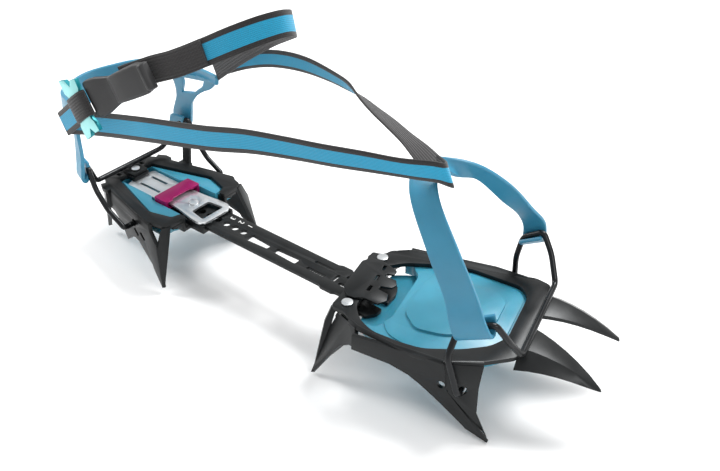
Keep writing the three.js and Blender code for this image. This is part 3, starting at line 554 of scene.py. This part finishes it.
def tube(name, path, radius, material, sides=20):
    """A round bar swept along a path, its ends chamfered."""
    bm = bmesh.new()
    rings, side = [], None
    stops = [(0, 0.7)] + [(i, 1.0) for i in range(len(path))] + [(len(path) - 1, 0.7)]
    for j, (i, size) in enumerate(stops):
        a, b = path[max(i - 1, 0)], path[min(i + 1, len(path) - 1)]
        along = (b - a).normalized()
        if side is None:
            side = Vector((0, 0, 1)) if abs(along.z) < 0.9 else Vector((1, 0, 0))
        side = (side - along * side.dot(along)).normalized()
        other = along.cross(side)
        centre = path[i].copy()
        if j == 1:
            centre += along * radius * 0.3
        if j == len(stops) - 2:
            centre -= along * radius * 0.3
        angles = [2 * math.pi * k / sides for k in range(sides)]
        rings.append([
            bm.verts.new(centre + (side * math.cos(t) + other * math.sin(t)) * radius * size)
            for t in angles])
    for a, b in zip(rings, rings[1:]):
        for k in range(sides):
            bm.faces.new((a[k], a[(k + 1) % sides], b[(k + 1) % sides], b[k]))
    bm.faces.new(list(reversed(rings[0])))
    bm.faces.new(rings[-1])
    obj = link(name, closed_mesh(name, bm, material))
    smooth(obj, 40)
    return obj


def stamped(name, node, material, width, body):
    """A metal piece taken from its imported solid, with its stamped edges rounded over."""
    mesh = frame["nodes"][node].data.copy()
    obj = link(name, mesh)
    weld(mesh)
    if width:
        bevel(obj, width)
        bake(obj)
    obj.data.materials.clear()
    obj.data.materials.append(MATERIALS[material])
    for polygon in obj.data.polygons:
        polygon.material_index = 0
    smooth(obj, 38)
    settle(obj, material, body, node)
    return obj


def settle(obj, material_slot, body, *nodes):
    if isinstance(body, str):
        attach(obj, body)
    else:
        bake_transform(obj)
    if nodes:
        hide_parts(*nodes)


# ======================= operators =======================
class CRAMPON_OT_metalwork(bpy.types.Operator):
    """Builds the two frames, the bar, its guide and the small plates with rounded edges"""
    bl_idname = "crampon.metalwork"
    bl_label = "Metalwork"

    def execute(self, context):
        edge = context.scene.crampon.metal.edge_round
        pieces = [
            ("rear_frame", "heel_frame", "black_steel", edge, "heel"),
            ("slide_channel", "bar_guide", "black_steel", edge, "heel"),
            ("channel_rivet_outer", "guide_rivet_outer", "black_steel", edge * 0.6, "heel"),
            ("channel_rivet_inner", "guide_rivet_inner", "black_steel", edge * 0.6, "heel"),
            ("hinge_bracket", "fork_bracket", "black_steel", edge, "heel"),
            ("toe_frame", "front_frame", "black_steel", edge, "front"),
            ("long_bar", "linkage_bar", "black_steel", edge * 0.8, "front"),
            ("retaining_plate", "bar_retainer", "black_steel", edge, "front"),
        ]
        for row in pieces:
            stamped(*row)
        self.head_cover(edge)
        return {"FINISHED"}

    def head_cover(self, edge):
        """The slotted plate laid over the crossmember that carries on the line of the bar."""
        outline = [(-6.6, -15), (-6.6, 10.5), (-2.8, 15.4), (3.6, 15.4), (9.6, 12.6), (15.4, 9.4),
                   (15.4, 5.2),
                   (11, 4.6), (11, 2.2), (18.4, 1), (20.4, -3), (18.6, -6.6), (12.4, -7.4),
                   (12.4, -10.4),
                   (19, -12.4), (20.6, -18), (17, -22.6), (8, -20.6), (3.4, -22.4), (-1.4, -22.4)]
        slots = [[(6.4, 6.8), (8.6, 6.8), (8.6, 11.4), (6.4, 11.4)],
                 [(6.4, -3.4), (8.6, -3.4), (8.6, 1.6), (6.4, 1.6)],
                 [(6.4, -14), (8.6, -14), (8.6, -9), (6.4, -9)]]
        curve = bpy.data.curves.new("head_cover", "CURVE")
        curve.dimensions, curve.fill_mode = "2D", "BOTH"
        curve.extrude = 0.6 * MM
        for ring in [outline] + slots:
            spline = curve.splines.new("POLY")
            spline.points.add(len(ring) - 1)
            for point, (x, y) in zip(spline.points, ring):
                point.co = (x * MM, y * MM, 0, 1)
            spline.use_cyclic_u = True
        source = link("head_cover_outline", curve)
        mesh = evaluated_mesh(source)
        bpy.data.objects.remove(source)
        rotation = Matrix((FRONT_ALONG, FRONT_ACROSS, Vector((0, 0, 1)))).transposed().to_4x4()
        mesh.transform(Matrix.Translation(F(0, 0, 43)) @ rotation)
        weld(mesh, outward=True)
        obj = link("head_cover", mesh)
        bevel(obj, edge * 0.6)
        bake(obj)
        obj.data.materials.clear()
        obj.data.materials.append(MATERIALS["black_steel"])
        smooth(obj, 38)
        settle(obj, "black_steel", "front")


class CRAMPON_OT_adjuster(bpy.types.Operator):
    """Builds the bright fork, the sprung lever with its pin and the pink hinge block"""
    bl_idname = "crampon.adjuster"
    bl_label = "Adjuster"

    def execute(self, context):
        edge = context.scene.crampon.metal.edge_round
        pieces = [
            ("fork_plate", "adjuster_fork", "silver_steel", edge * 0.6, "heel"),
            ("fork_stud", "fork_rivet", "silver_steel", edge * 0.8, "heel"),
            ("lift_handle", "lock_lever", "silver_steel", edge * 0.9, "lever"),
            ("handle_pin", "lock_pin", "silver_steel", edge, "lever"),
            ("hinge_block", "lock_clip", "magenta_anodised", edge * 1.2, "heel"),
            ("bar_stud_outer", "bar_rivet_outer", "silver_steel", edge, "front"),
            ("bar_stud_inner", "bar_rivet_inner", "silver_steel", edge, "front"),
        ]
        for row in pieces:
            stamped(*row)
        return {"FINISHED"}


class CRAMPON_OT_snow_plates(bpy.types.Operator):
    """Builds the two moulded anti-snow plates"""
    bl_idname = "crampon.snow_plates"
    bl_label = "Anti-snow plates"

    def execute(self, context):
        edge = context.scene.crampon.metal.edge_round
        stamped("rear_snow_plate", "heel_antisnow_plate", "pale_tpu", edge * 1.6, "heel")
        stamped("toe_snow_plate", "front_antisnow_plate", "pale_tpu", edge * 1.6, "front")
        return {"FINISHED"}


class CRAMPON_OT_wires(bpy.types.Operator):
    """Bends the two wire bails"""
    bl_idname = "crampon.wires"
    bl_label = "Wire bails"

    def execute(self, context):
        radius = context.scene.crampon.metal.wire / 2
        half = [(41, 31, 33.4), (41, 38.6, 33.4), (42.3, 41.9, 34.9), (28.8, 42, 42.4),
                (19.7, 42, 53.4), (14.3, 41.5, 67),
                (8.5, 37, 63), (1, 28, 46.2)]
        corners = [H(*p) for p in half] + [H(x, -y, z) for x, y, z in reversed(half)]
        rear = tube("rear_wire", rounded_path(corners, WIRE_BEND), radius, "black_wire")
        settle(rear, "black_wire", "heel_wire", "heel_bail")

        def side(s, inner, outer, back):
            return [(HINGE_AHEAD, s * inner, HINGE_UP), (HINGE_AHEAD, s * (outer + 0.8), HINGE_UP),
                    (back, s * outer, 49),
                    (back + 2, s * 46, 61), (88.5, s * 44, 69), (95, s * 40.5, 58),
                    (100.7, s * 33, 44.6)]

        corners = side(-1, 43, 54.4, 68.3) + list(reversed(side(1, 31, 42.5, 74.8)))
        toe = tube("toe_wire", rounded_path([F(*p) for p in corners], WIRE_BEND), radius,
                   "black_wire")
        settle(toe, "black_wire", "toe_wire", "front_bail")
        return {"FINISHED"}


class CRAMPON_OT_baskets(bpy.types.Operator):
    """Moulds the heel and toe baskets with their wire hems"""
    bl_idname = "crampon.baskets"
    bl_label = "Baskets"

    def execute(self, context):
        thick = context.scene.crampon.moulding.thick
        top, low = 103, 82
        # along, half width, rise of the lower edge outside and inside, rise of the upper edge
        plan = [(52, 36.5, 26, 23, 8), (40, 39, 22, 22, 7), (24, 40.5, 19, 20, 6),
                (8, 39.5, 13, 13, 5),
                (-6, 35.5, 8, 9, 4), (-17, 29, 4, 5, 2), (-25, 18, 1, 2, 0.5), (-30, 0, 0, 0, 0)]
        far = [(H(x, y, low + b), H(x, y * 1.012, (low + b + top + c) / 2), H(x, y, top + c))
               for x, y, _, b, c in plan]
        near = [(H(x, -y, low + a), H(x, -y * 1.012, (low + a + top + c) / 2), H(x, -y, top + c))
                for x, y, a, _, c in reversed(plan[:-1])]
        band = (far + near, {"steps": 8, "columns": 10})
        # each stem from its hem's end: inside the wire's bend, under it, then up to the band
        near_stem = [((6, 38.6, 70), (14, 41, 70)), ((6, 38.2, 64), (15, 41.5, 64)),
                     ((7, 41.5, 59.6), (16, 45, 59.6)),
                     ((7, 43.6, 61.5), (17, 47.6, 62)), ((7, 42.8, 69), (17.4, 47, 70)),
                     ((6.5, 41.6, 76), (16, 45, 77)),
                     ((6, 40.4, 84), (12.6, 42.8, 86)), ((5, 39.4, 92), (10.4, 41, 95)),
                     ((2, 38.4, 98), (13, 40.2, 101))]
        far_stem = [((2, 38.4, 68), (13, 38.8, 69)), ((0, 38.6, 62), (13, 39, 64)),
                    ((-2, 42, 57.6), (13, 42.4, 59)),
                    ((-3, 45, 60.6), (13, 45.4, 62)), ((-2, 44.4, 67), (15, 45, 69)),
                    ((3, 42.6, 76), (18.6, 43.4, 79)),
                    ((7, 41.2, 83), (26, 42, 87.6)), ((7.6, 40.8, 88), (34, 41, 93.6)),
                    ((7, 40.4, 93), (44, 39.8, 99.6)),
                    ((4, 40.2, 99), (51, 38, 107.6))]
        strips = [band]
        for sign, stem, holes in ((-1, near_stem, []), (1, far_stem, [(0.72, 0.96, 0.24, 0.76)])):
            rows = [(H(a[0], sign * a[1], a[2]), H(b[0], sign * b[1], b[2])) for a, b in stem]
            strips.append((rows, {"steps": 6, "columns": 12, "holes": holes}))
        heel = moulding("heel_cradle", strips, thick, "blue_tpu")
        settle(heel, "blue_tpu", ("heel", "heel_wire", H(8, 0, 90), H(8, 0, 72)), "heel_basket")

        outer = [
            (F(72, -43.2, 66.5), F(87.4, -41, 73)), (F(71.5, -42.4, 60.4), F(88, -40.4, 67)),
            (F(71.3, -45.4, 56.9), F(89, -44.4, 64)), (F(70, -49.4, 58.4), F(88.8, -48.6, 65)),
            (F(67, -50.5, 68), F(86, -49.8, 71)), (F(63, -47.5, 79), F(80, -47, 83)),
            (F(52, -43, 99.5), F(68, -43, 104.5)), (F(36.5, -31, 124), F(52, -30, 123.5)),
            (F(32, -16, 130), F(46, -17, 127)), (F(32, -2, 129), F(46, -3, 124)),
        ]
        inner = [
            (F(32, -3, 129), F(46, -4, 124)), (F(43, 6, 126), F(49, 7, 115)),
            (F(57, 14, 120.5), F(55, 19, 109)),
            (F(72, 28, 104), F(67, 31, 91)), (F(82, 41, 84), F(73, 45, 76)),
            (F(88, 48.4, 72), F(75.5, 48.8, 67)),
            (F(89, 49, 64), F(75.5, 49.6, 58.4)), (F(89, 45, 63), F(75.5, 45.6, 56.6)),
            (F(88, 41, 66.6), F(75.5, 42, 60)),
        ]
        toe = moulding("toe_cradle",
                       [(outer, {"steps": 6, "columns": 6}), (inner, {"steps": 6, "columns": 6})],
                       thick, "blue_tpu")
        settle(toe, "blue_tpu", ("front", "toe_wire", F(80, 0, 86), F(80, 0, 72)), "front_basket")
        return {"FINISHED"}


class CRAMPON_OT_straps(bpy.types.Operator):
    """Weaves the strap's runs from heel to toe, over the instep and back to the toggle"""
    bl_idname = "crampon.straps"
    bl_label = "Straps"

    def execute(self, context):
        web = context.scene.crampon.webbing
        slide_start, slide_end = H(60, 0, 120), H(215, 0, 120)

        def run(rows):
            return [(H(*p), Vector(a)) for p, a in rows]

        outer = run([
            ((11.6, -50.6, 100.3), (-0.55, 0.05, 0.83)), ((10.6, -49, 100.2), (-0.4, 0, 0.9)),
            ((11.8, -47.4, 100.1), (-0.28, 0.05, 0.96)), ((24, -46.2, 103.4), (-0.28, 0.05, 0.96)),
            ((48, -46, 110), (-0.28, 0.05, 0.96)), ((87, -48, 121), (-0.31, 0.03, 0.95)),
            ((133, -46, 131), (-0.35, -0.07, 0.94)), ((159, -43, 137), (-0.36, -0.16, 0.92)),
            ((183, -39, 140), (-0.38, -0.24, 0.89)), ((205, -35, 142), (-0.37, -0.30, 0.88)),
            ((225, -29, 143), (-0.36, -0.35, 0.86)), ((242, -21, 142), (-0.35, -0.40, 0.84)),
            ((253, -14, 141), (-0.30, -0.30, 0.81)), ((257, -10, 139), (-0.25, -0.2, 0.85)),
            ((254, -5, 136), (-0.2, -0.1, 0.9)), ((245, -1, 134), (-0.15, 0.1, 0.9)),
        ])
        obj = webbing("outer_strap", outer, web)
        settle(obj, "webbing", ("heel", "front", slide_start, slide_end), "strap_outer")

        inner = run([
            ((240, 2, 132.6), (0.1, 0.98, 0.1)), ((228, 8, 133.4), (-0.1, 0.99, 0)),
            ((214, 14, 134.4), (-0.24, 0.95, -0.19)), ((202, 17, 137), (-0.28, 0.93, -0.25)),
            ((190, 20, 139), (-0.34, 0.88, -0.33)), ((177, 24, 141), (-0.45, 0.78, -0.44)),
            ((165, 27, 143), (-0.60, 0.50, -0.61)), ((153, 30, 143), (-0.58, 0.42, -0.70)),
            ((128, 34, 142), (-0.41, 0.29, -0.86)), ((102, 37, 137), (-0.32, 0.24, -0.92)),
            ((77, 39, 128), (-0.2, 0.33, -0.92)), ((50, 40, 115), (-0.11, 0.35, -0.93)),
        ])
        obj = webbing("inner_strap", inner, web)
        settle(obj, "webbing", ("heel", "front", slide_start, slide_end), "strap_inner")

        instep = run([
            ((70, -46.4, 145.5), (-0.35, -0.1, 0.93)), ((83, -43, 152), (-0.36, -0.1, 0.93)),
            ((103, -38, 161), (-0.37, 0.02, 0.93)), ((120, -32, 170), (-0.34, -0.02, 0.95)),
            ((136, -26, 179), (-0.32, -0.02, 0.95)), ((148, -17, 185), (-0.20, -0.08, 0.97)),
            ((152.6, -7, 186), (-0.12, -0.1, 0.98)), ((149, 4, 181.5), (-0.2, -0.02, 0.98)),
            ((134, 14, 172.5), (-0.38, 0, 0.92)), ((110, 25, 158), (-0.45, 0, 0.9)),
            ((75, 33, 134), (-0.45, 0, 0.9)), ((50, 37.6, 115), (-0.4, 0, 0.92)),
        ])
        obj = webbing("instep_strap", instep, web)
        settle(obj, "webbing", "heel", "strap_instep")

        lift = Vector((0.2, -1, 0.15)).normalized() * 1.7 * MM
        tail = [(p + lift, a) for p, a in run([
            ((84, -42.8, 152.5), (-0.36, -0.1, 0.93)), ((92, -40.8, 156.4), (-0.37, -0.02, 0.93)),
            ((103, -38, 161), (-0.37, 0.02, 0.93)),
            ((112, -35, 165.6), (-0.35, 0, 0.94)), ((121, -31.6, 170.6), (-0.34, -0.02, 0.95)),
        ])]
        obj = webbing("strap_end", tail, web, plain=True)
        settle(obj, "webbing", "heel", "strap_tail")

        back = run([
            ((46, -54.4, 127.4), (-0.5, 0, 0.85)), ((38, -53.6, 120.8), (-0.52, 0, 0.85)),
            ((26, -52.4, 111.4), (-0.54, 0, 0.84)), ((12.6, -51, 101), (-0.55, 0, 0.83)),
        ])
        obj = webbing("toggle_strap", [(p, -a) for p, a in back], web)
        settle(obj, "webbing", "heel", "strap_toggle_end")

        wrap = run([
            ((33.4, -54.4, 117.6), (0.5, 0, -0.85)), ((34, -57.3, 118.2), (0.5, 0, -0.85)),
            ((39, -58.6, 122), (0.5, 0, -0.85)), ((45, -57.6, 126.8), (0.5, 0, -0.85)),
            ((47.4, -55.4, 128.4), (0.5, 0, -0.85)),
        ])
        obj = webbing("toggle_wrap", [(p, -a) for p, a in wrap], web, plain=True)
        settle(obj, "webbing", "heel")
        return {"FINISHED"}


class CRAMPON_OT_closure(bpy.types.Operator):
    """Casts the buckle and cuts the toggle that hooks into it"""
    bl_idname = "crampon.closure"
    bl_label = "Buckle and toggle"

    def execute(self, context):
        along = Vector((52, 6, 30)).normalized()
        up = Vector((-0.5, 0, 0.866))
        across = (up - along * up.dot(along)).normalized()
        normal = along.cross(across).normalized()
        origin = H(48, -52.5, 129)

        def at(s, t, n):
            return origin + (along * s + across * t + normal * n) * MM

        # half width, lift of the face and thickness along the buckle
        sections = [(-1.5, 10.9, 0.6, 1.8), (2, 11.3, 0.6, 2.4), (9, 10.8, 0.1, 2.4),
                    (15, 9.2, -0.6, 2.2),
                    (19, 8.3, -0.8, 2.2), (22.5, 8.1, 0.9, 3.2), (26, 8.3, 1.6, 3.8),
                    (33, 8.6, 1.7, 4.0),
                    (40, 8.8, 1.6, 4.0), (46.5, 8.8, 1.4, 3.8), (50, 8.0, 1.2, 3.6),
                    (51.2, 7.7, 2.1, 5.4),
                    (53.4, 7.5, 2.2, 5.6), (55, 7.2, 1.2, 3.4)]
        bm = bmesh.new()
        rings = []
        for s, half, lift, thick in sections:
            outline = [(-1, -0.5), (-0.94, 0.3), (-0.8, 0.5), (0, 0.5), (0.8, 0.5), (0.94, 0.3),
                       (1, -0.5)]
            rings.append([bm.verts.new(at(s, u * half, lift + v * thick)) for u, v in outline])
        count = len(rings[0])
        for a, b in zip(rings, rings[1:]):
            for k in range(count):
                k1 = (k + 1) % count
                bm.faces.new((a[k], a[k1], b[k1], b[k]))
        bm.faces.new(list(reversed(rings[0])))
        bm.faces.new(rings[-1])
        obj = link("cast_buckle", closed_mesh("cast_buckle", bm, "dark_metal"))
        bevel(obj, 0.5 * MM, 3)
        bake(obj)
        smooth(obj, 40)
        settle(obj, "dark_metal", "heel", "buckle_body")
        self.toggle(along, across, normal)
        return {"FINISHED"}

    def toggle(self, along, across, normal):
        """A flat plate forked at both ends, pinched in the middle where the webbing wraps it."""
        centre = H(40, -55.6, 122.6)
        half = [(-7, 18), (-2, 17), (0.4, 12.6), (3, 16), (7.4, 15.4), (6.8, 10), (5.2, 7.4),
                (5.2, 0)]
        left = [(-5.2, 0), (-5.2, 7.4), (-7, 10)]
        outline = left + half
        outline += [(s, -t) for s, t in reversed(half[:-1])] + [(s, -t) for s,
                                                                t in reversed(left[1:])]
        bm = bmesh.new()
        rings = [[bm.verts.new(centre + (along * s + across * t + normal * n) * MM) for s,
                  t in outline]
                 for n in (-1.5, 1.5)]
        for k in range(len(outline)):
            k1 = (k + 1) % len(outline)
            bm.faces.new((rings[0][k], rings[0][k1], rings[1][k1], rings[1][k]))
        bm.faces.new(list(reversed(rings[0])))
        bm.faces.new(rings[1])
        mesh = closed_mesh("fork_toggle", bm, "pale_anodised", "side_shade_anodised")
        # faces across the plate keep the pale anodising; the side faces take the darker teal copy,
        # painted shade
        for polygon in mesh.polygons:
            polygon.material_index = 0 if abs(polygon.normal.dot(normal)) > 0.9 else 1
        obj = link("fork_toggle", mesh)
        bevel(obj, 0.3 * MM)
        bake(obj)
        smooth(obj, 30)
        settle(obj, "pale_anodised", "heel", "toggle")


class CRAMPON_OT_marks(bpy.types.Operator):
    """Prints plain numbers, 1 to 3, beside the adjuster holes"""
    bl_idname = "crampon.marks"
    bl_label = "Size numbers"

    def execute(self, context):
        for i in range(3):
            curve = bpy.data.curves.new(f"size_mark_{i + 1}", "FONT")
            curve.body = str(i + 1)
            curve.size = 5.2 * MM
            curve.extrude = 0.05 * MM
            curve.align_x, curve.align_y = "CENTER", "CENTER"
            text = bpy.data.objects.new(f"size_mark_{i + 1}", curve)
            bpy.context.scene.collection.objects.link(text)
            text.location = H(103 - HOLE_PITCH * i, 6.9 - 0.2 * i, 36.08)
            text.rotation_euler = Euler((0, 0, math.radians(-90)))
            mesh = evaluated_mesh(text)
            obj = link(f"printed_number_{i + 1}", mesh)
            obj.matrix_world = text.matrix_world.copy()
            bpy.data.objects.remove(text)
            mesh.materials.clear()
            mesh.materials.append(MATERIALS["white_print"])
            settle(obj, "silver_steel", "front")
        return {"FINISHED"}


class CRAMPON_OT_stage(bpy.types.Operator):
    """Lays the pale floor and sets the studio lights and the camera"""
    bl_idname = "crampon.stage"
    bl_label = "Stage"

    def execute(self, context):
        scene = context.scene
        bm = bmesh.new()
        bmesh.ops.create_grid(bm, x_segments=1, y_segments=1, size=4.0)
        mesh = bpy.data.meshes.new("studio_floor")
        bm.to_mesh(mesh)
        bm.free()
        floor = link("studio_floor", mesh)
        floor.location.z = CAD_BOX[0].z
        mesh.materials.append(grained("pale studio paper", srgb("f4f4f4"), 0.0, (0.8, 0.9), 2.0,
                                      0.01, 0.005))

        world = bpy.data.worlds.new("studio")
        scene.world = world
        world.use_nodes = True
        world.node_tree.nodes["Background"].inputs["Color"].default_value = (1, 1, 1, 1)
        world.node_tree.nodes["Background"].inputs["Strength"].default_value = 0.7

        middle = (CAD_BOX[0] + CAD_BOX[1]) / 2
        lamps = [("key", (0.15, 0.6, 0.9), 0.4, 13), ("left", (-0.8, -0.2, 0.5), 0.3, 5),
                 ("side", (0.95, -0.25, 0.55), 0.4, 3)]
        for name, offset, size, power in lamps:
            data = bpy.data.lights.new(name, "AREA")
            data.energy, data.size = power, size
            lamp = bpy.data.objects.new(name, data)
            scene.collection.objects.link(lamp)
            lamp.location = middle + Vector(offset)
            lamp.rotation_euler = (middle - lamp.location).to_track_quat("-Z", "Y").to_euler()

        camera = bpy.data.objects.new("camera", bpy.data.cameras.new("camera"))
        scene.collection.objects.link(camera)
        camera.data.lens = 50.0
        camera.data.sensor_width = 36.0
        camera.data.clip_start = 0.01
        camera.location = H(477.554, -348.013, 381.137)
        camera.rotation_euler = Euler((math.radians(55.466), 0, math.radians(38.982)))
        scene.camera = camera
        scene.view_settings.view_transform = "Standard"
        return {"FINISHED"}


OPERATORS = (
    CRAMPON_OT_metalwork,
    CRAMPON_OT_adjuster,
    CRAMPON_OT_snow_plates,
    CRAMPON_OT_wires,
    CRAMPON_OT_baskets,
    CRAMPON_OT_straps,
    CRAMPON_OT_closure,
    CRAMPON_OT_marks,
    CRAMPON_OT_stage,
)


class CRAMPON_PT_panel(bpy.types.Panel):
    """Lists the crampon's pieces and their settings"""
    bl_idname = "CRAMPON_PT_panel"
    bl_label = "Crampon"
    bl_space_type = "VIEW_3D"
    bl_region_type = "UI"
    bl_category = "Crampon"

    def draw(self, context):
        settings = context.scene.crampon
        for group in (settings.webbing, settings.moulding, settings.metal):
            column = self.layout.column(align=True)
            for name in group.__annotations__:
                column.prop(group, name)
        column = self.layout.column(align=True)
        for operator in OPERATORS:
            column.operator(operator.bl_idname)


CLASSES = (WebbingSettings, MouldingSettings, MetalSettings, CramponSettings, *OPERATORS,
           CRAMPON_PT_panel)


def register():
    for cls in CLASSES:
        bpy.utils.register_class(cls)
    bpy.types.Scene.crampon = PointerProperty(type=CramponSettings)


def unregister():
    del bpy.types.Scene.crampon
    for cls in reversed(CLASSES):
        bpy.utils.unregister_class(cls)


def main():
    register()
    make_materials(bpy.context.scene.crampon)
    for operator in OPERATORS:
        group, name = operator.bl_idname.split(".")
        getattr(getattr(bpy.ops, group), name)()


if __name__ == "__main__":
    main()
